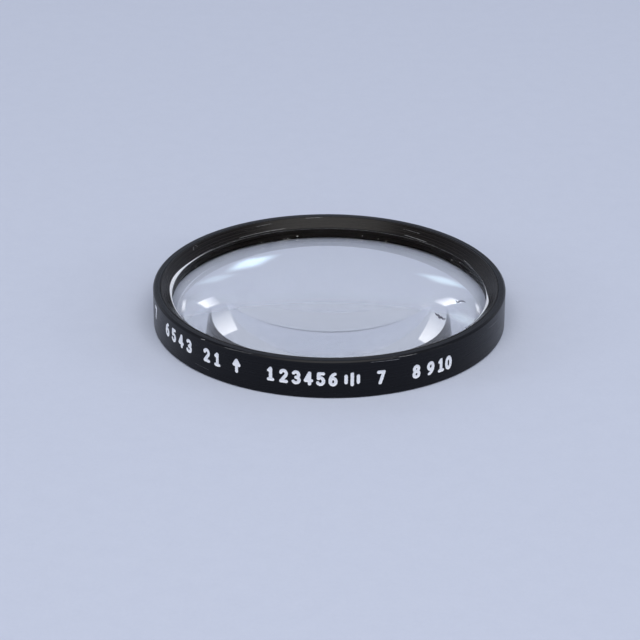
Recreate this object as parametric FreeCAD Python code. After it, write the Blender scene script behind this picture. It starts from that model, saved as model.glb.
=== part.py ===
import FreeCAD, Part
import math
import os

# A drop-in close-up filter: a short aluminium ring that holds one strong plano-convex lens.
# The lens rests on a bevelled lip at the rear, and a retaining ring screwed in from the front
# presses on the rim of its curved face. Millimetres, +Z along the optical axis to the front,
# origin at the centre of the ring's flat rear face.

# Driving sizes of the mount ring, with its walls counted inwards from the outside
ring_diameter = 41.28
ring_height = 4.58
thread_wall = 0.84
shelf_width = 0.65
shelf_gap = 0.23
front_edge_break = 0.20
rear_edge_break = 0.15
relief_width = 0.35
relief_depth = 0.12
mouth_break = 0.04
lip_nose_setback = 0.10

# Driving sizes of the lens
focal_length = 100.0
glass_index = 1.523
lens_edge_height = 1.86
rear_face_setback = 0.12
rear_bevel = 0.60
front_bevel = 0.12

# Driving sizes of the retaining ring
rim_cover = 0.65
retainer_land = 0.18
flare_depth = 0.98
flare_foot_width = 0.05
flare_foot_depth = 0.10
retainer_front_break = 0.04
retainer_rear_break = 0.12

# Clearances
lens_side_clearance = 0.05
thread_clearance = 0.02
seat_clearance = 0.01
clamp_clearance = 0.01

# Radii worked out from the sizes above
ring_radius = ring_diameter / 2
thread_radius = ring_radius - thread_wall
lens_bore_radius = thread_radius - shelf_width
lens_radius = lens_bore_radius - lens_side_clearance
lip_radius = lens_radius - rear_bevel + lip_nose_setback
aperture_radius = lens_radius - rim_cover
retainer_radius = thread_radius - thread_clearance
front_face_rim_radius = lens_radius - front_bevel
face_radius = focal_length * (glass_index - 1.0)


def sag(radius):
    """Height that the curved face falls from its top out to this radius."""
    return face_radius - math.sqrt(face_radius ** 2 - radius ** 2)


# Heights worked out from the sizes above, up from the rear face
lens_rim_z = rear_face_setback + lens_edge_height
lens_top_z = lens_rim_z + front_bevel + sag(front_face_rim_radius)
clamp_z = lens_top_z - sag(aperture_radius) + clamp_clearance
shelf_z = clamp_z - shelf_gap


def point(radius, height):
    """A point of a half section: distance from the optical axis, then height."""
    return FreeCAD.Vector(radius, 0, height)


def outline(points):
    """Straight edges through the points of a section, closed back to the first."""
    return Part.makePolygon(points + [points[0]])


def turned(wire):
    """The full turn of a closed half section about the optical axis."""
    axis_start = FreeCAD.Vector(0, 0, 0)
    axis_direction = FreeCAD.Vector(0, 0, 1)
    return Part.Face(wire).revolve(axis_start, axis_direction, 360)


def seat_height(radius):
    """Height of the bevelled seat at a radius: the lens's rear bevel, let down by its clearance."""
    bevel_start_radius = lens_radius - rear_bevel
    drop = seat_clearance * math.sqrt(2)
    return rear_face_setback + (radius - bevel_start_radius) - drop


def mount_ring():
    """The outer ring: plain barrel, rear lip with its seat, lens bore, relief groove and thread bore."""
    relief_radius = thread_radius + relief_depth
    section = [
        point(lip_radius, 0),
        point(ring_radius - rear_edge_break, 0),
        point(ring_radius, rear_edge_break),
        point(ring_radius, ring_height - front_edge_break),
        point(ring_radius - front_edge_break, ring_height),
        point(thread_radius + mouth_break, ring_height),
        point(thread_radius, ring_height - mouth_break),
        point(thread_radius, shelf_z + relief_width + relief_depth),
        point(relief_radius, shelf_z + relief_width),
        point(relief_radius, shelf_z),
        point(lens_bore_radius, shelf_z),
        point(lens_bore_radius, seat_height(lens_bore_radius)),
        point(lip_radius, seat_height(lip_radius)),
    ]
    return turned(outline(section))


def close_up_lens():
    """The glass: flat rear face, bevelled rim, and one spherical face that stands up to the front."""
    rim_start = point(front_face_rim_radius, lens_rim_z + front_bevel)
    half_way = front_face_rim_radius / 2
    dome_middle = point(half_way, lens_top_z - sag(half_way))
    dome_top = point(0, lens_top_z)
    rim = [
        dome_top,
        point(0, rear_face_setback),
        point(lens_radius - rear_bevel, rear_face_setback),
        point(lens_radius, rear_face_setback + rear_bevel),
        point(lens_radius, lens_rim_z),
        rim_start,
    ]
    straight_edges = Part.makePolygon(rim).Edges
    dome = Part.Arc(rim_start, dome_middle, dome_top).toShape()
    return turned(Part.Wire(straight_edges + [dome]))


def retaining_ring():
    """The ring that holds the lens: flared mouth, short inner wall, and a flat foot over the lens's rim."""
    flare_top_radius = retainer_radius - retainer_land
    flare_foot_radius = aperture_radius + flare_foot_width
    flare_foot_z = ring_height - flare_depth
    section = [
        point(aperture_radius, clamp_z),
        point(retainer_radius - retainer_rear_break, clamp_z),
        point(retainer_radius, clamp_z + retainer_rear_break),
        point(retainer_radius, ring_height - retainer_front_break),
        point(retainer_radius - retainer_front_break, ring_height),
        point(flare_top_radius, ring_height),
        point(flare_foot_radius, flare_foot_z),
        point(aperture_radius, flare_foot_z - flare_foot_depth),
    ]
    return turned(outline(section))


os.makedirs("parts", exist_ok=True)
pieces = {
    "mount_ring": mount_ring(),
    "close_up_lens": close_up_lens(),
    "retaining_ring": retaining_ring(),
}
for name, shape in pieces.items():
    shape.exportStep(os.path.join("parts", name + ".step"))
    print(name, "valid", shape.isValid(), "solids", len(shape.Solids), "mm3 %.1f" % shape.Volume)
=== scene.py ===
# %% Load the frame
import math

import bpy
import numpy as np
from mathutils import Matrix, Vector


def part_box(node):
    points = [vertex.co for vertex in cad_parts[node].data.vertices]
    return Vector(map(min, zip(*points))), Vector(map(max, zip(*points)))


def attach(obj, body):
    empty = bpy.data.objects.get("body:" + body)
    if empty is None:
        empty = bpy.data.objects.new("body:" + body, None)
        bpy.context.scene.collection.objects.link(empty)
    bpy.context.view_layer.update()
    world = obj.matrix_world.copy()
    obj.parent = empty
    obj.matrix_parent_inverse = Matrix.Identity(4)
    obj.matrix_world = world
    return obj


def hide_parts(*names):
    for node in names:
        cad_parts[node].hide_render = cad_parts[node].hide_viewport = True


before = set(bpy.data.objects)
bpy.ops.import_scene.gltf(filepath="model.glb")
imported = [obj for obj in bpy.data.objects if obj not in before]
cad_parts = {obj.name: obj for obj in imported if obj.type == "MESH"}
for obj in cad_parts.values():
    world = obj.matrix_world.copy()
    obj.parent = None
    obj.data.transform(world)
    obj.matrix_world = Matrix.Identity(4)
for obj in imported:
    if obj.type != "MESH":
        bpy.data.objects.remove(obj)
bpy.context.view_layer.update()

# %% [markdown]
# The object is a drop-in close-up filter, about as wide as a large coin: a short black ring of
# anodised aluminium, one strongly curved lens, and an inner ring that screws down on the lens's
# rim. Everything on it was turned on a lathe, so nearly every shape here is one half section
# carried round the optical axis. The sizes below are millimetres, because the piece is small
# enough that metres would be hard to read, and points are turned into metres as a mesh is made.
# The outside sizes are read from the frame, so that the dressed pieces can't drift from it.

# %% Sizes read from the frame
MM = 0.001


def box_mm(node):
    """Lowest and highest corner of a frame node, in millimetres."""
    low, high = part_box(node)
    return np.array(low) / MM, np.array(high) / MM


ring_low, ring_high = box_mm("mount_ring")
lens_low, lens_high = box_mm("close_up_lens")
inner_low, inner_high = box_mm("retaining_ring")
ring_radius = (ring_high[0] - ring_low[0]) / 2
ring_height = ring_high[2]
lens_radius = (lens_high[0] - lens_low[0]) / 2
lens_foot = lens_low[2]
lens_top = lens_high[2]
inner_radius = (inner_high[0] - inner_low[0]) / 2
inner_foot = inner_low[2]
print("ring %.2f x %.2f mm, lens %.2f mm" % (2 * ring_radius, ring_height, 2 * lens_radius))

# %% Sizes of the mount ring
front_edge_break = 0.20
rear_edge_break = 0.15
mouth_break = 0.04
relief_width = 0.35
relief_depth = 0.12
thread_wall = 0.84
shelf_width = 0.65
shelf_gap = 0.23
lip_width = 0.50
seat_gap = 0.014
thread_radius = ring_radius - thread_wall
lens_bore_radius = thread_radius - shelf_width
lip_radius = lens_radius - lip_width
shelf_height = inner_foot - shelf_gap
print("thread bore %.2f mm, lens bore %.2f mm" % (2 * thread_radius, 2 * lens_bore_radius))

# %% Sizes of the lens and the retaining ring
face_radius = 52.3
rear_bevel = 0.60
front_bevel = 0.12
rim_cover = 0.65
retainer_land = 0.18
retainer_rear_break = 0.12
retainer_front_break = 0.04
flare_depth = 0.98
flare_foot_width = 0.05
flare_foot_depth = 0.10
aperture_radius = lens_radius - rim_cover
flare_top_radius = inner_radius - retainer_land
flare_foot_radius = aperture_radius + flare_foot_width
flare_foot_height = ring_height - flare_depth
wall_top = flare_foot_height - flare_foot_depth
print("clear opening %.2f mm, flare %.2f mm" % (2 * aperture_radius, 2 * flare_top_radius))

# %% [markdown]
# A turned piece needs three things: a half section, the angles at which it is repeated, and the
# faces between neighbours. A Screw modifier could carry the section round, but the engraving and
# the screw thread both move points in or out after the turn, so the whole surface is worked out
# as one numpy grid instead, with rows along the section and columns round the axis. Angle 0 faces
# the camera and grows to the right.

# %% Half sections
CORNER_STEPS = 4


def softened(outline):
    """Rows (radius, height) of a closed section, with rounded corners and rows between them.

    Each corner of the outline is (radius, height, softness, steps). softness is how far the
    corner is cut back: the cut is bridged by a quadratic curve, (1 - t)^2 a + 2 t (1 - t) corner
    + t^2 b, and a softness of 0 keeps the corner sharp. steps is how many rows the straight
    stretch after the corner gets.
    """
    outline = np.array(outline, float)
    corners, softness, counts = outline[:, :2], outline[:, 2], outline[:, 3].astype(int)
    after = np.roll(corners, -1, 0) - corners
    after /= np.linalg.norm(after, axis=1)[:, None]
    before = np.roll(after, 1, 0)
    t = np.linspace(0, 1, CORNER_STEPS, endpoint=False)[:, None]
    rows = []
    for k, corner in enumerate(corners):
        start = corner - before[k] * softness[k]
        end = corner + after[k] * softness[k]
        if softness[k] > 0:
            rows.append((1 - t) ** 2 * start + 2 * t * (1 - t) * corner + t ** 2 * end)
        follower = (k + 1) % len(corners)
        next_start = corners[follower] - after[k] * softness[follower]
        along = np.linspace(0, 1, counts[k], endpoint=False)[:, None]
        rows.append(end + (next_start - end) * along)
    return np.concatenate(rows)


# %% Turned surfaces
def turn(section, angles):
    """Radii and heights of a section at every angle: two arrays with rows x columns."""
    radii = np.repeat(section[:, :1], len(angles), 1)
    heights = np.repeat(section[:, 1:], len(angles), 1)
    return radii, heights


def grid_faces(rows, columns, closed):
    """Quads between neighbours of a grid. Columns always join up; rows do if closed."""
    last = rows if closed else rows - 1
    i, j = np.meshgrid(np.arange(last), np.arange(columns), indexing="ij")
    i2 = (i + 1) % rows
    j2 = (j + 1) % columns
    corners = [i * columns + j, i * columns + j2, i2 * columns + j2, i2 * columns + j]
    return np.stack(corners, -1).reshape(-1, 4)


def surface_points(radii, heights, angles):
    """Points in metres: x = r sin a, y = -r cos a, z = height."""
    x = radii * np.sin(angles)
    y = -radii * np.cos(angles)
    return np.stack([x, y, heights], -1).reshape(-1, 3) * MM


def make_piece(name, points, faces, sharp_angle=28):
    """A mesh object from points and faces, shaded smooth except across sharp edges."""
    mesh = bpy.data.meshes.new(name)
    mesh.from_pydata(points.tolist(), [], [list(f) for f in faces])
    mesh.polygons.foreach_set("use_smooth", np.ones(len(mesh.polygons), bool))
    mesh.set_sharp_from_angle(angle=math.radians(sharp_angle))
    mesh.update()
    piece = bpy.data.objects.new(name, mesh)
    bpy.context.scene.collection.objects.link(piece)
    print(name, len(mesh.vertices), "points,", len(mesh.polygons), "faces")
    return piece


def store(piece, name, values):
    """Keep one number per point, which a material reads by its name."""
    attribute = piece.data.attributes.new(name, "FLOAT", "POINT")
    attribute.data.foreach_set("value", np.asarray(values, np.float32).ravel())


# %% [markdown]
# The outer wall carries a row of engraved marks filled with white paint. Here they are plain: an
# arrow towards the front of the lens, and numbers that count up on both sides of it. On the real
# thing a round-nosed cutter follows each stroke, so a mark is a groove with round ends. The row
# isn't quite level in the photograph: it sinks a little from left to right, and so it does here.
# Text objects could be bent round the ring, but they would stand on it instead of being cut in. So
# each sign is a few strokes, and for every point of the wall the distance to the nearest stroke is
# worked out. That one number cuts the groove, and later tells the paint from the black.

# %% Strokes of the signs
CELL = np.array([0.6, 1.0])


def arc(cx, cy, rx, ry, start, end, steps=16):
    """Points of an ellipse about (cx, cy), from one angle to another in degrees."""
    t = np.radians(np.linspace(start, end, steps + 1))
    return np.stack([cx + rx * np.cos(t), cy + ry * np.sin(t)], -1)


def line(*points):
    """A broken line through the points."""
    return np.array(points, float).reshape(-1, 2)


def turned_over(strokes):
    """The same strokes after half a turn about the middle of the sign's cell: cell - point."""
    return [CELL - stroke for stroke in strokes]


six = [arc(0.30, 0.30, 0.28, 0.30, 0, 360), arc(0.56, 0.34, 0.54, 0.66, 180, 100)]
SIGNS = {
    "0": [arc(0.30, 0.50, 0.28, 0.50, 0, 360, 24)],
    "1": [line(0.12, 0.82, 0.32, 1.0, 0.32, 0.0), line(0.10, 0.0, 0.54, 0.0)],
    "2": [arc(0.30, 0.72, 0.28, 0.28, 165, -40), line(0.51, 0.54, 0.03, 0.0, 0.60, 0.0)],
    "3": [arc(0.28, 0.75, 0.27, 0.25, 150, -90), arc(0.28, 0.25, 0.31, 0.25, 90, -150)],
    "4": [line(0.42, 0.0, 0.42, 1.0, 0.0, 0.30, 0.62, 0.30)],
    "5": [line(0.55, 1.0, 0.10, 1.0, 0.08, 0.55), arc(0.27, 0.31, 0.31, 0.31, 127, -150)],
    "6": six,
    "7": [line(0.02, 1.0, 0.58, 1.0, 0.20, 0.0)],
    "8": [arc(0.30, 0.76, 0.24, 0.24, 0, 360), arc(0.30, 0.26, 0.29, 0.26, 0, 360)],
    "9": turned_over(six),
    "arrow": [line(0.30, 0.0, 0.30, 1.0), line(0.0, 0.60, 0.30, 1.02, 0.60, 0.60)],
    "tick": [line(0.30, 0.2, 0.30, 0.8)],
    "long": [line(0.30, 0.0, 0.30, 1.0)],
}
print(len(SIGNS), "signs")

# %% Where the signs stand
sign_height = 1.72
sign_squeeze = 0.84
stroke_width = 0.39
marks_height = 2.40
marks_fall = 0.0068
reach_across, reach_up = 1.2, 1.3
no_mark = 5.0
SCALE = [
    (-76.1, "7"), (-63.4, "6"), (-58.8, "5"), (-54.3, "4"), (-49.9, "3"),
    (-41.6, "2"), (-37.2, "1"), (-29.8, "arrow"),
    (-18.2, "1"), (-14.0, "2"), (-10.0, "3"), (-6.2, "4"), (-2.4, "5"), (1.4, "6"),
    (5.4, "tick"), (7.3, "long"), (9.2, "tick"), (16.4, "7"),
    (28.3, "8"), (33.5, "9"), (37.5, "1"), (40.6, "0"),
]


def distance_to_line(x, y, points):
    """Distance from every (x, y) to a broken line: the least over its straight stretches.

    For a stretch a to b the nearest place is a + t (b - a), with t held between 0 and 1.
    """
    a = points[:-1][:, None]
    b = points[1:][:, None]
    place = np.stack([x, y], -1)[None]
    along = b - a
    t = ((place - a) * along).sum(-1) / (along ** 2).sum(-1)
    nearest = a + np.clip(t, 0, 1)[..., None] * along
    return np.linalg.norm(place - nearest, axis=-1).min(0)


def mark_distance(angles, heights, radius):
    """Distance in mm from each wall point to the edge of the nearest stroke, below 0 inside one."""
    body = sign_height - stroke_width
    squeeze = np.array([sign_squeeze, 1.0])
    found = np.full(heights.shape, no_mark)
    across = angles[None] * radius + np.zeros_like(heights)
    for degrees, sign in SCALE:
        x = across - math.radians(degrees) * radius
        y = heights - (marks_height - marks_fall * degrees)
        near = (np.abs(x) < reach_across) & (np.abs(y) < reach_up)
        for stroke in SIGNS[sign]:
            points = (stroke - CELL / 2) * squeeze * body
            d = distance_to_line(x[near], y[near], points) - stroke_width / 2
            found[near] = np.minimum(found[near], d)
    return found


print(len(SCALE), "signs from", SCALE[0][0], "to", SCALE[-1][0], "degrees")

# %% [markdown]
# The mount ring is a plain barrel outside. Inside it has a rear lip with a slanted seat, the bore
# for the lens, and a fine screw thread for the inner ring. The thread is a triangle wave: going
# once round moves it up by one pitch. It fades out near the mouth and near the relief groove, as a
# real one does where the tool enters and leaves. The columns of the grid are close together only
# where the marks are.

# %% Thread and columns
thread_pitch = 0.50
thread_depth = 0.13
thread_fade = 0.15
thread_foot_gap = 0.15
thread_mouth_gap = 0.30
thread_low = shelf_height + relief_width + relief_depth
thread_high = ring_height - thread_mouth_gap
groove_depth = 0.07
groove_side = 0.12
marks_start, marks_end = -94, 52
marks_step, plain_step = 0.25, 1.5
touching = 0.001


def thread_wave(angles, heights, low, high):
    """Triangle wave of (height / pitch - turns): 0 at a root, 1 at a crest, faded at its ends."""
    phase = heights / thread_pitch - angles / (2 * math.pi)
    wave = np.abs((phase % 1.0) * 2 - 1)
    rise = np.clip((heights - low) / thread_fade, 0, 1)
    fall = np.clip((high - heights) / thread_fade, 0, 1)
    return wave * (rise * fall)


def smooth_step(x):
    """Rises from 0 to 1 as x does, level at both ends: x^2 (3 - 2 x)."""
    x = np.clip(x, 0, 1)
    return x * x * (3 - 2 * x)


def column_angles():
    """Angles round the ring in radians, close together from marks_start to marks_end."""
    dense = np.arange(marks_start, marks_end, marks_step)
    plain_count = round((360 - marks_end + marks_start) / plain_step)
    loose = np.linspace(marks_end, marks_start + 360, plain_count)
    return np.radians(np.concatenate([dense, loose[:-1]]))


def seat_height(radius):
    """Height of the slanted seat, which lies just under the lens's rear bevel."""
    return lens_foot + radius - (lens_radius - rear_bevel) - seat_gap


ring_angles = column_angles()
print(len(ring_angles), "columns round the mount ring")

# %% The mount ring
REAR_CORNER, FRONT_CORNER, FRONT_INNER_CORNER, MOUTH_CORNER = 2, 3, 4, 5
ring_outline = [
    (lip_radius, 0, 0.03, 4),
    (ring_radius - rear_edge_break, 0, 0.04, 1),
    (ring_radius, rear_edge_break, 0.04, 44),
    (ring_radius, ring_height - front_edge_break, 0.06, 2),
    (ring_radius - front_edge_break, ring_height, 0.06, 4),
    (thread_radius + mouth_break, ring_height, 0.012, 1),
    (thread_radius, ring_height - mouth_break, 0.012, 26),
    (thread_radius, thread_low, 0, 1),
    (thread_radius + relief_depth, shelf_height + relief_width, 0, 2),
    (thread_radius + relief_depth, shelf_height, 0, 2),
    (lens_bore_radius, shelf_height, 0, 2),
    (lens_bore_radius, seat_height(lens_bore_radius), 0, 2),
    (lip_radius, seat_height(lip_radius), 0.03, 1),
]
ring_section = softened(ring_outline)
radii, heights = turn(ring_section, ring_angles)
on_wall = ring_section[:, 0] > ring_radius - touching
distance = np.full(radii.shape, no_mark)
distance[on_wall] = mark_distance(ring_angles, heights[on_wall], ring_radius)
radii -= groove_depth * smooth_step(-distance / groove_side)
on_thread = np.abs(ring_section[:, 0] - thread_radius) < touching
in_bore = on_thread & (ring_section[:, 1] > thread_low)
wave = thread_wave(ring_angles, heights[in_bore], thread_low, thread_high)
radii[in_bore] += thread_depth * wave
mount_ring = make_piece(
    "mount_ring_dressed",
    surface_points(radii, heights, ring_angles),
    grid_faces(len(ring_section), len(ring_angles), closed=True),
)
store(mount_ring, "mark_distance", distance)
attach(mount_ring, "root")
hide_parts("mount_ring")

# %% [markdown]
# Handling rubs the black off the edges first. Each rubbed place is kept as a number on the points
# of the mesh, high along the front edge break and at the few angles where the photographed ring
# shows pale scuffs, so that the material only has to break it up with noise.

# %% Rubbed edges
def bumps(angles, places):
    """Sum of bell curves round the ring, each given as (angle, half width, strength)."""
    total = np.zeros_like(angles)
    for centre, width, strength in places:
        apart = (np.degrees(angles) - centre + 180) % 360 - 180
        total = total + strength * np.exp(-(apart / width) ** 2)
    return total


def near_corner(section, outline, corner, reach):
    """1 at a corner of the outline, falling off as a bell curve over a reach in mm."""
    apart = np.linalg.norm(section - np.array(outline[corner][:2]), axis=1)
    return np.exp(-(apart / reach) ** 2)


def rubbed(section, outline, angles, edges):
    """Sum over the edges (corner, reach, rub all round, scuffs) of nearness times rub."""
    rub = np.zeros((len(section), len(angles)))
    for corner, reach, everywhere, scuffs in edges:
        nearness = near_corner(section, outline, corner, reach)
        rub += np.outer(nearness, everywhere + bumps(angles, scuffs))
    return rub


front_scuffs = [
    (20, 5, 0.42), (2, 4, 0.22), (-27, 5, 0.30), (34, 5, 0.18), (-58, 8, 0.10),
    (70, 12, 0.10), (140, 4, 0.35), (-120, 7, 0.25), (172, 14, 0.12),
]
mouth_scuffs = [(-20, 1.2, 0.7), (-122, 3, 0.4)]
rub = rubbed(ring_section, ring_outline, ring_angles, [
    (FRONT_CORNER, 0.16, 0.28, front_scuffs),
    (FRONT_INNER_CORNER, 0.16, 0.28, front_scuffs),
    (REAR_CORNER, 0.12, 0.30, []),
    (MOUTH_CORNER, 0.10, 0.16, mouth_scuffs),
])
store(mount_ring, "rub", np.clip(rub, 0, 1))
print("rub on the mount ring up to %.2f" % rub.max())

# %% [markdown]
# The retaining ring screws into the mouth. What shows of it is a narrow flat land, the slanted
# flare and the short wall that stands on the rim of the lens. Its outside carries the matching
# thread, in step with the one in the bore and a hair smaller, so that the two never touch.

# %% The retaining ring
FLARE_TOP_CORNER = 5
inner_outline = [
    (aperture_radius, inner_foot, 0.02, 3),
    (inner_radius - retainer_rear_break, inner_foot, 0, 1),
    (inner_radius, inner_foot + retainer_rear_break, 0, 26),
    (inner_radius, ring_height - retainer_front_break, 0.012, 1),
    (inner_radius - retainer_front_break, ring_height, 0.012, 2),
    (flare_top_radius, ring_height, 0.04, 14),
    (flare_foot_radius, flare_foot_height, 0.055, 1),
    (aperture_radius, wall_top, 0.045, 10),
]
inner_section = softened(inner_outline)
inner_angles = np.radians(np.arange(0, 360, 1.0))
radii, heights = turn(inner_section, inner_angles)
outside = inner_section[:, 0] > inner_radius - touching
wave = thread_wave(inner_angles, heights[outside], inner_foot + thread_foot_gap, thread_high)
radii[outside] += thread_depth * wave
retaining_ring = make_piece(
    "retaining_ring_dressed",
    surface_points(radii, heights, inner_angles),
    grid_faces(len(inner_section), len(inner_angles), closed=True),
)
flare_scuffs = [(160, 16, 0.1), (-130, 12, 0.2)]
rub = rubbed(inner_section, inner_outline, inner_angles, [
    (FLARE_TOP_CORNER, 0.08, 0.2, flare_scuffs),
])
store(retaining_ring, "rub", rub)
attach(retaining_ring, "root")
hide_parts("retaining_ring")

# %% [markdown]
# At the left and right the foot of the flare is rubbed down to bare metal, in a strip that is
# widest in the middle and runs out at both ends. Three numbers on the points tell it: how far a
# point lies past the foot, in mm, and how far the strip reaches up the flare and down the wall at
# that angle. The material compares them, so the strip's edge stays sharp on a coarse mesh.

# %% Burnished strips
flare_slant = 0.9
strip_end = 0.02
strips_up = [(-94, 18, 0.62), (-68, 8, 0.34), (77, 9.5, 0.80), (64, 7, 0.40)]
strips_down = [(-78, 12, 0.50), (78, 12, 0.50)]
past_foot = inner_section[:, 1] - wall_top + flare_slant * (inner_section[:, 0] - aperture_radius)
burnished_width = bumps(inner_angles, strips_up) - strip_end
burnished_below = bumps(inner_angles, strips_down)
for name, values in [
    ("past_foot", past_foot[:, None]),
    ("burnished_width", burnished_width),
    ("burnished_below", burnished_below),
]:
    store(retaining_ring, name, np.broadcast_to(values, radii.shape))
print("burnished strips up to %.2f mm wide" % burnished_width.max())

# %% [markdown]
# The lens is flat behind and a slice of a sphere in front, and its rim is ground, not polished.
# A polished curve shows every facet in its reflections, so the dome gets many close rows. The two
# poles are single points joined by triangles, which keeps the mesh closed like the real glass.

# %% The lens
rear_rows, dome_rows = 13, 96
rim_round = 0.02
lens_step = 1.5


def sag(radius):
    """Fall of a sphere's surface from its top: R - sqrt(R^2 - r^2)."""
    return face_radius - np.sqrt(face_radius ** 2 - radius ** 2)


def capped_faces(rows, columns):
    """Grid faces plus a fan of triangles to a pole at each end, whose points come last."""
    quads = grid_faces(rows, columns, closed=False)
    j = np.arange(columns)
    j2 = (j + 1) % columns
    first_pole = rows * columns
    last_pole = first_pole + 1
    last_row = (rows - 1) * columns
    first_fan = np.stack([np.full(columns, first_pole), j2, j], -1)
    last_fan = np.stack([np.full(columns, last_pole), last_row + j, last_row + j2], -1)
    return quads.tolist() + first_fan.tolist() + last_fan.tolist()


rim_height = lens_top - sag(lens_radius - front_bevel)
rear_radii = np.linspace(0, lens_radius - rear_bevel, rear_rows + 1)[1:]
dome_radii = np.linspace(0, lens_radius - front_bevel, dome_rows + 1)[1:][::-1]
rim = [
    (lens_radius - rim_round, lens_foot + rear_bevel - rim_round),
    (lens_radius, lens_foot + rear_bevel + rim_round),
    (lens_radius, rim_height - front_bevel - rim_round),
    (lens_radius - rim_round, rim_height - front_bevel + rim_round),
]
lens_section = np.concatenate([
    np.stack([rear_radii, np.full_like(rear_radii, lens_foot)], -1),
    np.array(rim),
    np.stack([dome_radii, lens_top - sag(dome_radii)], -1),
])
lens_angles = np.radians(np.arange(0, 360, lens_step))
radii, heights = turn(lens_section, lens_angles)
poles = np.array([[0, 0, lens_foot], [0, 0, lens_top]]) * MM
lens = make_piece(
    "lens_dressed",
    np.concatenate([surface_points(radii, heights, lens_angles), poles]),
    capped_faces(len(lens_section), len(lens_angles)),
    sharp_angle=14,
)
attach(lens, "root")
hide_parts("close_up_lens")

# %% The ground part of the lens
row_of_face = np.repeat(np.arange(len(lens_section) - 1), len(lens_angles))
first_ground = rear_rows - 1
ground = (row_of_face >= first_ground) & (row_of_face <= first_ground + len(rim))
lens_slots = np.zeros(len(lens.data.polygons), np.int32)
lens_slots[: len(ground)] = ground
print(ground.sum(), "ground faces")

# %% [markdown]
# The photographed filter has been used: small pale grains lie on the far rim of the glass and on
# the wall above it. Each grain is a small knobbly solid, one shape squashed and turned many ways,
# with a fixed seed so that it comes out the same each time. The grains that show one by one are
# listed where they lie, and the rest are strewn along the far rim.

# %% Grains
octahedron = np.array([
    [0, 2, 4], [2, 1, 4], [1, 3, 4], [3, 0, 4], [2, 0, 5], [1, 2, 5], [3, 1, 5], [0, 3, 5],
])
squashed = np.array([1.1, 0.9, 0.7])


def knobbly(count, rng):
    """Grains round the origin, each an eight-sided solid whose points are pushed in or out."""
    sideways = [[1, 0, 0], [-1, 0, 0], [0, 1, 0], [0, -1, 0]]
    base = np.array(sideways + [[0, 0, 1], [0, 0, -1]], float)
    push = rng.uniform(0.6, 1.2, (count, 6, 1))
    turn_by = rng.uniform(0, 2 * math.pi, count)
    c, s = np.cos(turn_by), np.sin(turn_by)
    spin = np.zeros((count, 3, 3))
    spin[:, 0, 0], spin[:, 0, 1], spin[:, 1, 0], spin[:, 1, 1], spin[:, 2, 2] = c, -s, s, c, 1
    return np.einsum("nij,nkj->nki", spin, base[None] * push)


def on_dome(x, y):
    """Height of the glass at a place: top - sag(distance from the axis)."""
    return lens_top - sag(np.hypot(x, y))


# Grains on the glass: x, y, size. Grains on the wall: angle, height, size.
seen_grains = np.array([
    (-8.10, 11.93, 0.060), (-16.75, 4.40, 0.085), (-17.05, 4.13, 0.065), (9.45, 12.99, 0.050),
    (8.05, 15.55, 0.055), (-5.38, 16.66, 0.075), (-5.02, 17.65, 0.075), (-1.42, 10.50, 0.055),
    (0.23, 5.60, 0.050), (-11.72, 12.60, 0.055), (11.67, 12.40, 0.055), (-2.42, 9.80, 0.040),
])
wall_grains = np.array([
    (-167.4, 2.61, 0.120), (-163.6, 2.40, 0.100), (-162.1, 2.40, 0.085), (-152.8, 2.44, 0.085),
    (167.4, 2.72, 0.095), (161.0, 2.55, 0.070), (157.8, 2.42, 0.090), (126.3, 2.74, 0.080),
    (113.6, 2.71, 0.075), (121.2, 2.99, 0.065), (-119.0, 2.42, 0.080), (-157.2, 2.40, 0.065),
])
print(len(seen_grains), "grains seen on the glass,", len(wall_grains), "on the wall")

# %% Dust on the glass
strewn_count = 52
strewn_from, strewn_to = 95, 265
strewn_limit, strewn_spread = 18.2, 1.6
smallest, largest = 0.012, 0.035
raised_share = 0.3
off_the_wall = 0.01
dust_seed = 6
rng = np.random.default_rng(dust_seed)
strewn_angles = np.radians(rng.uniform(strewn_from, strewn_to, strewn_count))
strewn_radii = strewn_limit - np.abs(rng.normal(0, strewn_spread, strewn_count))
strewn_sizes = rng.uniform(smallest, largest, strewn_count)
strewn_x = strewn_radii * np.sin(strewn_angles)
strewn_y = -strewn_radii * np.cos(strewn_angles)
grains = np.concatenate([seen_grains, np.stack([strewn_x, strewn_y, strewn_sizes], -1)])
grain_heights = on_dome(grains[:, 0], grains[:, 1]) + raised_share * grains[:, 2]
wall_angles = np.radians(wall_grains[:, 0])
wall_places = np.column_stack([np.sin(wall_angles), -np.cos(wall_angles)])
wall_places *= aperture_radius - off_the_wall
centres = np.concatenate([
    np.column_stack([grains[:, :2], grain_heights]),
    np.column_stack([wall_places, wall_grains[:, 1]]),
])
sizes = np.concatenate([grains[:, 2], wall_grains[:, 2]])
shapes = knobbly(len(centres), rng) * sizes[:, None, None] * squashed
points = (centres[:, None] + shapes).reshape(-1, 3) * MM
faces = (octahedron[None] + 6 * np.arange(len(centres))[:, None, None]).reshape(-1, 3)
dust = make_piece("dust_grains", points, faces)
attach(dust, "root")

# %% [markdown]
# Two short dark fibres of lint lie near the right edge of the glass. Each is a bent tube that
# follows a line of named points across the dome. The heading along the line is found from its
# neighbours, and the tube's width is set out at right angles to it.

# %% Lint on the glass
LINT_STEPS, LINT_SIDES = 40, 8
lint_smoothing = 0.035
lint_raised = 0.5
# Each fibre: half width, then its points.
LINT = [
    (0.12, [(12.22, -6.45), (12.40, -6.82), (12.62, -6.72), (12.66, -7.30), (12.92, -6.98),
            (13.06, -7.38), (13.38, -7.15)]),
    (0.08, [(14.76, -2.30), (14.92, -2.58), (15.10, -2.52), (15.22, -2.16), (15.48, -1.98),
            (15.72, -1.92), (15.92, -2.06)]),
]


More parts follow.
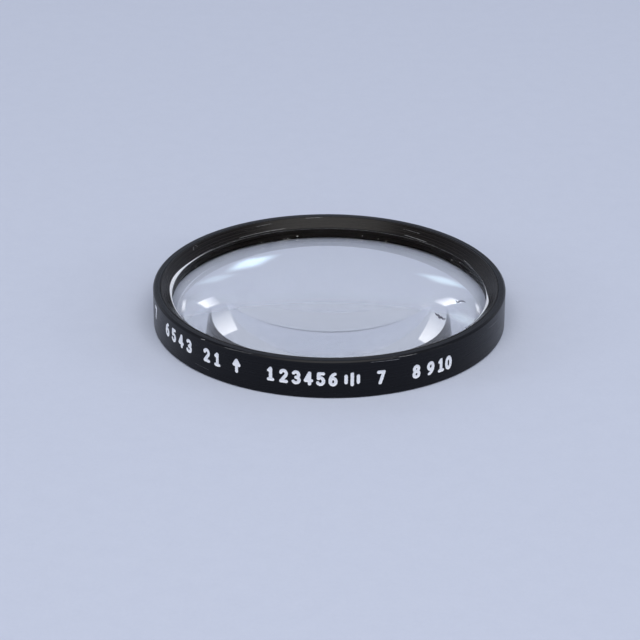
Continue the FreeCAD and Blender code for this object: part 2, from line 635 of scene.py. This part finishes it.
def smoothed(path):
    """The path at many even steps, each one an average of its neighbours under a bell curve."""
    along = np.linspace(0, 1, LINT_STEPS)
    knots = np.linspace(0, 1, len(path))
    blur = np.exp(-((along[:, None] - along) / lint_smoothing) ** 2)
    blur /= blur.sum(1, keepdims=True)
    return blur @ np.column_stack([np.interp(along, knots, np.array(path)[:, k]) for k in (0, 1)])


def tube(path, reach):
    """Points of a bent tube on the dome along a smoothed path, thinning out towards both ends."""
    middle = smoothed(path)
    heading = np.gradient(middle, axis=0)
    heading /= np.linalg.norm(heading, axis=1)[:, None]
    sideways = np.column_stack([-heading[:, 1], heading[:, 0]])
    width = reach * np.sqrt(np.sin(math.pi * np.linspace(0.05, 0.95, LINT_STEPS)))
    around = np.linspace(0, 2 * math.pi, LINT_SIDES, endpoint=False)
    flat = middle[:, None] + (width[:, None] * np.cos(around))[..., None] * sideways[:, None]
    rest_height = on_dome(middle[:, 0], middle[:, 1]) + lint_raised * reach
    height = rest_height[:, None] + width[:, None] * np.sin(around)
    ends = [[*middle[k], rest_height[k]] for k in (0, -1)]
    return np.concatenate([np.concatenate([flat, height[..., None]], -1).reshape(-1, 3), ends])


fibres = [tube(path, reach) for reach, path in LINT]
fibre_faces = capped_faces(LINT_STEPS, LINT_SIDES)
faces = fibre_faces + [[corner + len(fibres[0]) for corner in face] for face in fibre_faces]
lint = make_piece("dark_lint", np.concatenate(fibres) * MM, faces)
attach(lint, "root")

# %% [markdown]
# Materials come next. Blender's shader maths is a web of small nodes, which is hard to read as
# code, so a small class wraps one output of a node and lets plain arithmetic add the Math nodes.
# Every other node goes through one method that sets its options first and its inputs after.

# %% Shader maths as plain arithmetic
class Socket:
    """One output of a node. Arithmetic with numbers or other sockets adds Math nodes."""

    def __init__(self, finish, output):
        self.finish = finish
        self.output = output

    def maths(self, operation, *values):
        """A Math node of one operation on the values, which are numbers or sockets."""
        inputs = dict(enumerate(values))
        return self.finish.node("ShaderNodeMath", {"operation": operation}, inputs)

    def __add__(self, other):
        return self.maths("ADD", self, other)

    __radd__ = __add__

    def __sub__(self, other):
        return self.maths("SUBTRACT", self, other)

    def __rsub__(self, other):
        return self.maths("SUBTRACT", other, self)

    def __mul__(self, other):
        return self.maths("MULTIPLY", self, other)

    __rmul__ = __mul__

    def __truediv__(self, other):
        return self.maths("DIVIDE", self, other)

    def __abs__(self):
        return self.maths("ABSOLUTE", self)

    def larger(self, other):
        """The larger of this and another value."""
        return self.maths("MAXIMUM", self, other)

    def step(self, low, high):
        """0 below low, 1 above high, and a smooth rise between them."""
        settings = {"interpolation_type": "SMOOTHSTEP"}
        inputs = {"Value": self, "From Min": low, "From Max": high}
        return self.finish.node("ShaderNodeMapRange", settings, inputs)


# %% A web of nodes
class Finish:
    """A web of nodes in the making, for a material, a lamp or the sky."""

    def __init__(self, owner):
        owner.use_nodes = True
        self.owner = owner
        self.tree = owner.node_tree
        self.tree.nodes.clear()

    def node(self, kind, settings=None, inputs=None, output=0):
        """Adds a node, sets its options, then its inputs by name or number; gives one output."""
        made = self.tree.nodes.new(kind)
        for name, value in (settings or {}).items():
            setattr(made, name, value)
        for key, value in (inputs or {}).items():
            if isinstance(value, Socket):
                self.tree.links.new(value.output, made.inputs[key])
            else:
                made.inputs[key].default_value = value
        return Socket(self, made.outputs[output]) if len(made.outputs) else made

    def place(self):
        """The point being shaded, in the object's own metres."""
        return self.node("ShaderNodeTexCoord", output="Object")

    def part(self, vector, axis):
        """One of X, Y and Z of a vector."""
        return self.node("ShaderNodeSeparateXYZ", None, {0: vector}, output=axis)

    def stored(self, name):
        """A number kept on the mesh's points."""
        return self.node("ShaderNodeAttribute", {"attribute_name": name}, output="Fac")

    def noise(self, vector, scale, detail=2.0, roughness=0.5):
        """Cloudy noise with so many bumps a metre, detail layers and roughness of the layers."""
        inputs = {"Vector": vector, "Scale": scale, "Detail": detail, "Roughness": roughness}
        return self.node("ShaderNodeTexNoise", None, inputs)

    def mixed(self, share, first, second):
        """The first colour where share is 0, the second where it is 1."""
        inputs = {0: share, 6: first, 7: second}
        return self.node("ShaderNodeMix", {"data_type": "RGBA"}, inputs, output=2)

    def bump(self, height, depth):
        """A normal tilted by a height from 0 to 1, whose full depth is given in metres."""
        return self.node("ShaderNodeBump", None, {"Height": height, "Distance": depth})

    def shader(self, inputs):
        """One Principled shader with these inputs."""
        return self.node("ShaderNodeBsdfPrincipled", None, inputs)

    def blended(self, share, first, second):
        """The first shader where share is 0, the second where it is 1."""
        return self.node("ShaderNodeMixShader", None, {0: share, 1: first, 2: second})

    def done(self, surface):
        """Joins the surface to the output that suits the owner, and gives the owner back."""
        kinds = {bpy.types.World: "World", bpy.types.Material: "Material"}
        kind = next((kinds[k] for k in kinds if isinstance(self.owner, k)), "Light")
        self.node("ShaderNodeOutput" + kind, None, {"Surface": surface})
        print(self.owner.name, len(self.tree.nodes), "nodes")
        return self.owner


def new_finish(name):
    """The empty web of a new material."""
    return Finish(bpy.data.materials.new(name))


# %% [markdown]
# Black anodising is a thin dyed layer of hard oxide on aluminium. It doesn't shine like metal: it
# has a weak, satin gloss over near black, and the fine rings that the lathe tool left still show
# through it. The tool's rings depend only on the distance from the axis and on the height, so the
# pattern is noise read along those two, with a slow change round the ring so that no line runs on
# for a whole turn.

# %% Coordinates of a turned piece
class Turned:
    """Where the point being shaded lies on a turned piece.

    radius is the length of (x, y), height is z, and angle is atan2(x, -y).
    """

    def __init__(self, finish):
        self.place = finish.place()
        kind = "ShaderNodeVectorMath"
        flat = finish.node(kind, {"operation": "MULTIPLY"}, {0: self.place, 1: (1, 1, 0)})
        self.radius = finish.node(kind, {"operation": "LENGTH"}, {0: flat}, output="Value")
        self.height = finish.part(self.place, "Z")
        x, y = finish.part(self.place, "X"), finish.part(self.place, "Y")
        self.angle = x.maths("ARCTAN2", x, y * -1.0)


def lathe_lines(finish, turned, spacing):
    """Noise that changes every spacing metres in and out or up and down, and slowly round."""
    slow = finish.noise(turned.place, 90.0, 1.0)
    across = (turned.radius + turned.height * 0.77) / spacing + slow * 1.5
    inputs = {"W": across, "Scale": 1.0, "Detail": 3.0}
    return finish.node("ShaderNodeTexNoise", {"noise_dimensions": "1D"}, inputs)


# %% [markdown]
# Scratches are named one by one, because each is seen in the photograph: thin bright lines round
# the foot of the flare, a few nicks above it, and two scuffs under the front edge at the right. One
# more line on the barrel, along the front edge at the left, is no scratch but painted sheen: a pale
# metal line drawn where the edge catches the overhead light. Each starts at one angle and height
# and ends at another, so it is a thin straight band in those two coordinates, broken up by noise.

# %% Scratches and a painted sheen
# Each line, a scratch or the painted sheen: angle where it starts, angle where it ends, height
# there and there, half width.
FLARE_SCRATCHES = [
    (-143.0, -163.5, 3.66, 3.72, 0.015), (-118.5, -130.0, 3.58, 3.55, 0.018),
    (150.5, 140.0, 3.69, 3.62, 0.020), (-171.0, -177.5, 4.49, 4.51, 0.013),
    (-121.0, -122.2, 4.20, 4.46, 0.026), (-124.2, -123.2, 4.30, 4.52, 0.020),
    (-152.0, -158.0, 4.28, 4.31, 0.010), (119.0, 111.0, 3.62, 3.48, 0.015),
    (152.0, 144.5, 4.19, 4.14, 0.010),
]
BARREL_SCRATCHES_AND_SHEEN = [
    (12.8, 22.6, 4.29, 4.22, 0.022), (22.0, 28.5, 4.44, 4.42, 0.018),
    # (-34.5, -24.0) on the next line is painted sheen, not a scratch: a pale line drawn where the
    # front-left top edge catches the overhead light.
    (-44.0, -42.4, 4.40, 4.45, 0.040), (-34.5, -24.0, 4.44, 4.50, 0.012),
    (-47.0, -40.5, 1.02, 0.92, 0.010), (62.0, 71.0, 3.55, 3.30, 0.010),
]


def scratch_and_sheen_share(finish, turned, scratches_and_sheen):
    """1 on a scratch or on the painted sheen line, 0 off it: a band about the straight line from
    its start to its end.
    """
    chips = finish.noise(turned.place, 2600.0, 3.0, 0.7)
    share = None
    for start, end, low, high, width in scratches_and_sheen:
        along = (turned.angle - math.radians(start)) / math.radians(end - start)
        apart = abs(turned.height - (along * (high - low) + low) * MM)
        band = (1.0 - apart / (width * MM) + (chips - 0.5) * 1.6).step(0.3, 0.75)
        ends = along.step(0.0, 0.06) * (1.0 - along).step(0.0, 0.06)
        share = band * ends if share is None else share.larger(band * ends)
    return share


def strip_share(finish, grain):
    """1 on a burnished strip: between its width up the flare and its depth down the wall."""
    past = finish.stored("past_foot")
    up = finish.stored("burnished_width") + (grain - 0.5) * 0.05 - past
    down = past + finish.stored("burnished_below")
    return up.step(-0.015, 0.03) * down.step(-0.05, 0.0)


# %% Black anodised aluminium
# Colour of metal where the black is worn off, also used for the painted sheen line.
BARE_METAL_AND_SHEEN = (0.95, 0.95, 0.96, 1)
rub_strength = 0.6
scratch_and_sheen_strength = 0.38
coating_index = 1.28


def anodised(name, scratches_and_sheen, black, grey, line_spacing, line_depth, line_light, gloss, strips):
    """Satin black with lathe lines, and pale metal on each scratch, on the painted sheen line and
    where the stored rub is high.

    line_spacing and line_depth are metres, line_light is how far the lines turn the black grey,
    gloss is the roughness between them, and strips says whether the piece has burnished strips.
    """
    finish = new_finish(name)
    turned = Turned(finish)
    lines = lathe_lines(finish, turned, line_spacing)
    grain = finish.noise(turned.place, 9000.0, 3.0, 0.6)
    patches = finish.noise(turned.place, 700.0, 4.0, 0.65)
    rub = finish.stored("rub")
    worn = (rub + (patches - 0.5) * 1.1 + (grain - 0.5) * 0.4).step(0.72, 0.95)
    scratched_and_sheen = scratch_and_sheen_share(finish, turned, scratches_and_sheen)
    # This pale metal mix also draws the painted sheen line that the barrel's list holds.
    bare_and_sheen = (worn * rub_strength).larger(scratched_and_sheen * scratch_and_sheen_strength)
    if strips:
        bare_and_sheen = bare_and_sheen.larger(strip_share(finish, grain))
    thin = (rub + (patches - 0.5) * 0.8).step(0.25, 0.95)
    shade = finish.mixed(lines.step(0.35, 0.75) * line_light + thin * 0.30, black, grey)
    surface = finish.shader({
        "Base Color": finish.mixed(bare_and_sheen, shade, BARE_METAL_AND_SHEEN),
        "Metallic": bare_and_sheen * 0.5,
        "Roughness": gloss + (lines - 0.5) * 0.20 + (grain - 0.5) * 0.10 + bare_and_sheen * 0.25,
        "IOR": coating_index,
        "Normal": finish.bump(lines * 0.8 + grain * 0.2, line_depth),
    })
    return finish, turned, surface


finish, turned, surface = anodised(
    "anodised_inner", FLARE_SCRATCHES,
    black=(0.0040, 0.0033, 0.0030, 1), grey=(0.026, 0.020, 0.016, 1),
    line_spacing=0.00011, line_depth=0.0000065, line_light=0.36, gloss=0.27, strips=True,
)
retaining_ring.data.materials.append(finish.done(surface))

# %% [markdown]
# The outer wall is the same black with white paint in its grooves. The stored distance is below 0
# inside a stroke, and its zero line is sharp however coarse the mesh is. A little noise is added to
# it, so that the paint's edge is as uneven as a wiped-in fill, and noise turns the white grey in
# blotches, where the fill is thin.

# %% Paint-filled barrel
WHITE_PAINT = (0.86, 0.87, 0.89, 1)
THIN_PAINT = (0.50, 0.50, 0.54, 1)
ragged_mm = 0.09
# The barrel's list of lines includes one painted sheen along its front-left top edge.
finish, turned, black_surface = anodised(
    "anodised_barrel", BARREL_SCRATCHES_AND_SHEEN,
    black=(0.0026, 0.0028, 0.0046, 1), grey=(0.018, 0.019, 0.026, 1),
    line_spacing=0.00014, line_depth=0.0000020, line_light=0.10, gloss=0.30, strips=False,
)
ragged = (finish.noise(turned.place, 6000.0, 2.0) - 0.5) * ragged_mm
paint_share = (0.0 - (finish.stored("mark_distance") + ragged)).step(-0.010, 0.016)
blotches = finish.noise(turned.place, 4200.0, 3.0, 0.6).step(0.60, 0.78)
pits = finish.noise(turned.place, 14000.0, 2.0)
paint = finish.shader({
    "Base Color": finish.mixed(blotches * 0.45, WHITE_PAINT, THIN_PAINT),
    "Roughness": 0.55,
    "Normal": finish.bump(pits, 0.000006),
})
barrel = finish.blended(paint_share, black_surface, paint)
mount_ring.data.materials.append(finish.done(barrel))

# %% [markdown]
# The glass is plain clear crown glass. Its look comes from refraction: near the camera the light
# meets the flat rear face at too low an angle to get out, so that part of the lens works as a
# mirror. A perfect surface would look made up, so it carries a faint film in patches and a few
# fine specks of powder. Roughness could blur it instead, but seven bounces through a rough face
# leave only grain. The ground rim is the same glass with a rough skin.

# %% Glass
GLASS_INDEX = 1.523


def polished_glass():
    """Clear glass, with powder mixed in by two noises: rare small specks and a faint film."""
    finish = new_finish("polished_glass")
    place = finish.place()
    film = finish.noise(place, 160.0, 4.0, 0.6).step(0.52, 0.85)
    specks = finish.noise(place, 5200.0, 2.0).step(0.775, 0.80)
    clear = finish.shader({
        "Base Color": (0.997, 1.0, 0.998, 1), "Roughness": 0.0,
        "IOR": GLASS_INDEX, "Transmission Weight": 1.0,
    })
    powder = finish.shader({"Base Color": (0.80, 0.80, 0.82, 1), "Roughness": 0.9})
    return finish.done(finish.blended(specks * 0.35 + film * 0.012, clear, powder))


def ground_glass():
    """The same glass under a fine grit, which tilts the surface and varies its roughness."""
    finish = new_finish("ground_glass")
    grit = finish.noise(finish.place(), 16000.0, 2.0)
    return finish.done(finish.shader({
        "Base Color": (0.93, 0.95, 0.95, 1), "Roughness": 0.45 + (grit - 0.5) * 0.2,
        "IOR": GLASS_INDEX, "Transmission Weight": 1.0, "Normal": finish.bump(grit, 0.000008),
    }))


lens.data.materials.append(polished_glass())
lens.data.materials.append(ground_glass())
lens.data.polygons.foreach_set("material_index", lens_slots)


# %% Dust and lint
def powdery(name, light, dark):
    """Matt mixed grains, from a light to a darker tone."""
    finish = new_finish(name)
    tone = finish.noise(finish.place(), 5000.0, 2.0).step(0.35, 0.65)
    grit = finish.noise(finish.place(), 30000.0, 2.0)
    return finish.done(finish.shader({
        "Base Color": finish.mixed(tone, light, dark), "Roughness": 0.85,
        "Normal": finish.bump(grit, 0.000004),
    }))


dust.data.materials.append(powdery("pale_dust", (0.78, 0.77, 0.75, 1), (0.50, 0.49, 0.47, 1)))
lint.data.materials.append(powdery("grey_lint", (0.05, 0.05, 0.07, 1), (0.16, 0.16, 0.20, 1)))

# %% [markdown]
# The stage is a pale blue-grey floor under soft light, and the sky near the horizon has about the
# same tone, as a backdrop that curves up behind the object would. One broad lamp, high up on the
# camera's side, does most of the lighting: its light goes almost straight through the lens, so
# the floor under the glass is nearly as light as the floor beside it. The lens also shows what
# stands round it, so the other lamps were placed by following its bright spots in the photograph
# back through the glass. A grey-white card at each side behind the ring gives the two pale patches
# near the camera, and two side lamps light the ends of the ring. Eight small lamps give the rest:
# three soft spots, a haze, two flares and two thin streaks. Light that has been through the glass
# doesn't show the side lamps or the small ones, so the lens has them only on its front face.

# %% Floor
def make_floor():
    """A flat square sheet with a faint tooth, in two pale tones mixed by noise."""
    reach = 3.0
    corners = np.array([
        [-reach, -reach, 0], [reach, -reach, 0], [reach, reach, 0], [-reach, reach, 0],
    ])
    floor = make_piece("floor", corners, np.array([[0, 1, 2, 3]]))
    finish = new_finish("pale_floor")
    tooth = finish.noise(finish.place(), 2200.0, 4.0, 0.6)
    cloud = finish.noise(finish.place(), 420.0, 3.0, 0.6)
    tones = (0.53, 0.57, 0.68, 1), (0.59, 0.63, 0.74, 1)
    surface = finish.shader({
        "Base Color": finish.mixed((cloud + tooth) * 0.5, *tones), "Roughness": 0.9,
        "Specular IOR Level": 0.2, "Normal": finish.bump(tooth, 0.00003),
    })
    floor.data.materials.append(finish.done(surface))


make_floor()

# %% How a lamp is hung
LAMP_DISTANCE = 0.9
WHITE = (1.0, 1.0, 1.0)
WARM = (1.0, 0.99, 0.975)
CYAN = (0.72, 0.94, 1.0)


def direction(azimuth, elevation):
    """Unit vector to a place seen from the ring: azimuth 0 is behind it, 90 to the right."""
    a, e = math.radians(azimuth), math.radians(elevation)
    return np.array([math.sin(a) * math.cos(e), math.cos(a) * math.cos(e), math.sin(e)])


def seen_size(degrees):
    """Length that looks so many degrees long from the ring: 2 d tan(degrees / 2)."""
    return 2 * LAMP_DISTANCE * math.tan(math.radians(degrees / 2))


def hang_lamp(name, azimuth, elevation, wide, high, brightness, soft, lean, roll, colour):
    """A rectangular lamp that faces the ring, and looks so many degrees wide and high from there.

    Its power is brightness x area x pi, so that a brightness of 1 looks as bright as white. The
    light fades towards its edges: soft is the share of the half width over which it does. lean
    makes the left end brighter than the right one, and roll turns the lamp in its own plane, in
    degrees, so that its top goes to the right.
    """
    lamp = bpy.data.lights.new(name, "AREA")
    lamp.shape = "RECTANGLE"
    lamp.size = seen_size(wide)
    lamp.size_y = seen_size(high)
    lamp.energy = brightness * lamp.size * lamp.size_y * math.pi
    lamp.color = colour
    finish = Finish(lamp)
    spot = finish.node("ShaderNodeNewGeometry", output="Parametric")
    across = finish.part(spot, "X") * 2.0 - 1.0
    upwards = finish.part(spot, "Y") * 2.0 - 1.0
    fade = (1.0 - abs(across)).step(0.0, soft) * (1.0 - abs(upwards)).step(0.0, soft)
    strength = fade * (across * lean + 1.0)
    finish.done(finish.node("ShaderNodeEmission", None, {"Strength": strength}))
    held = bpy.data.objects.new(name, lamp)
    bpy.context.scene.collection.objects.link(held)
    held.location = direction(azimuth, elevation) * LAMP_DISTANCE
    facing = (held.location * -1).to_track_quat("-Z", "Y").to_matrix()
    rolled = facing @ Matrix.Rotation(math.radians(roll), 3, "Z")
    held.rotation_euler = rolled.to_euler()
    return held


# %% Lamps
# Each lamp: azimuth, elevation, degrees wide and high, brightness, soft, lean, roll, colour.
BROAD_LAMPS = [
    ("overhead", 175, 64, 68, 54, 2.6, 0.4, 0, 0, WARM),
    ("left_card", -52.7, 13.8, 23.6, 22, 0.28, 0.05, -0.9, -3, WHITE),
    ("right_card", 54.8, 12.8, 16.4, 28.5, 0.28, 0.05, 0.9, 0, WHITE),
]
SMALL_LAMPS = [
    ("left_side", -106, 18, 12, 14, 14.0, 0.8, 0, 0, WHITE),
    ("right_side", 105, 18, 12, 14, 14.0, 0.8, 0, 0, WHITE),
    ("spot_left", -8.6, 10.0, 5.6, 11.5, 2.6, 0.8, 0, -24, CYAN),
    ("spot_faint", -14.2, 15.0, 5.0, 6.5, 0.9, 0.8, 0, 20, CYAN),
    ("spot_right", 14.2, 14.8, 6.2, 7.5, 1.9, 0.8, 0, -30, CYAN),
    ("haze_right", 25.0, 31.0, 5.5, 7.0, 1.6, 0.9, 0, 0, CYAN),
    ("flare_left", -20.2, 27.5, 3.0, 6.4, 3.6, 0.4, 0.95, -8, WHITE),
    ("flare_right", 19.3, 26.2, 2.5, 7.4, 4.0, 0.4, -0.95, -3, WHITE),
    ("streak_left", -22.6, 22.9, 0.8, 8.5, 3.5, 0.8, 0, -28, WHITE),
    ("streak_right", 22.9, 22.3, 0.8, 7.0, 3.5, 0.8, 0, 31, WHITE),
]
for lamp in BROAD_LAMPS:
    hang_lamp(*lamp)
for lamp in SMALL_LAMPS:
    hang_lamp(*lamp).visible_transmission = False


# %% Sky
def make_sky():
    """As pale as the floor near the horizon and darker overhead, where the broad lamp hangs."""
    world = bpy.data.worlds.new("sky")
    bpy.context.scene.world = world
    finish = Finish(world)
    up = finish.part(finish.node("ShaderNodeTexCoord", output="Generated"), "Z")
    tone = finish.mixed(up.step(0.55, 0.9), (0.46, 0.50, 0.61, 1), (0.24, 0.25, 0.28, 1))
    finish.done(finish.node("ShaderNodeBackground", None, {"Color": tone, "Strength": 1.0}))


make_sky()

# %% [markdown]
# The camera repeats the photograph's view. It was found by fitting the ring's four outlines: the
# lens looks down at 25.6 degrees from 300 mm, and its aim is turned a little aside, so that the
# ring lies where it does in the picture.

# %% Camera
VIEW_ELEVATION = 25.61
VIEW_DISTANCE = 0.300
FOCAL_PIXELS = 2541.6
IMAGE_PIXELS = 640
AIM_RIGHT_PIXELS = 9.02
AIM_UP_PIXELS = -1.89
ROLL = -0.47
SENSOR_WIDTH = 36


def turned_about(vector, axis, angle):
    """A vector after a turn about a unit axis: v cos a + (k x v) sin a + k (k . v)(1 - cos a)."""
    c, s = math.cos(angle), math.sin(angle)
    return vector * c + np.cross(axis, vector) * s + axis * np.dot(axis, vector) * (1 - c)


def make_camera():
    """Looks at the origin, then turns aside, up or down, and round its own axis."""
    back = direction(180, VIEW_ELEVATION)
    ahead = -back
    right = np.array([1.0, 0.0, 0.0])
    up = np.cross(right, ahead)
    yaw = math.atan2(AIM_RIGHT_PIXELS, FOCAL_PIXELS)
    pitch = math.atan2(AIM_UP_PIXELS, FOCAL_PIXELS)
    roll = math.radians(ROLL)
    ahead, right = turned_about(ahead, up, yaw), turned_about(right, up, yaw)
    ahead, up = turned_about(ahead, right, pitch), turned_about(up, right, pitch)
    right, up = turned_about(right, ahead, roll), turned_about(up, ahead, roll)
    data = bpy.data.cameras.new("camera")
    data.sensor_width = SENSOR_WIDTH
    data.lens = SENSOR_WIDTH * FOCAL_PIXELS / IMAGE_PIXELS
    data.clip_start = 0.005
    data.clip_end = 20
    camera = bpy.data.objects.new("camera", data)
    bpy.context.scene.collection.objects.link(camera)
    place = np.eye(4)
    place[:3] = np.column_stack([right, up, -ahead, back * VIEW_DISTANCE])
    camera.matrix_world = Matrix(place)
    bpy.context.scene.camera = camera
    print("focal length %.1f mm from %.3f m" % (data.lens, VIEW_DISTANCE))


make_camera()

# %% [markdown]
# Light that enters the lens near the camera bounces up to seven times between its two faces before
# it gets out, because it meets them at low angles. Blender gives up on a path after four mirror
# bounces, which would leave black patches in the glass, so the limits go up. Blender also blurs
# sharp glass for light that has been scattered before, to save time. That takes a third of the
# light from the floor under the lens, so the blur is turned off. The view transform is Standard,
# so that a colour on the screen is the colour in the material.

# %% Light paths and view
scene = bpy.context.scene
scene.cycles.max_bounces = 32
scene.cycles.glossy_bounces = 24
scene.cycles.transmission_bounces = 24
scene.cycles.blur_glossy = 0.0
scene.view_settings.view_transform = "Standard"
print("up to", scene.cycles.max_bounces, "bounces")
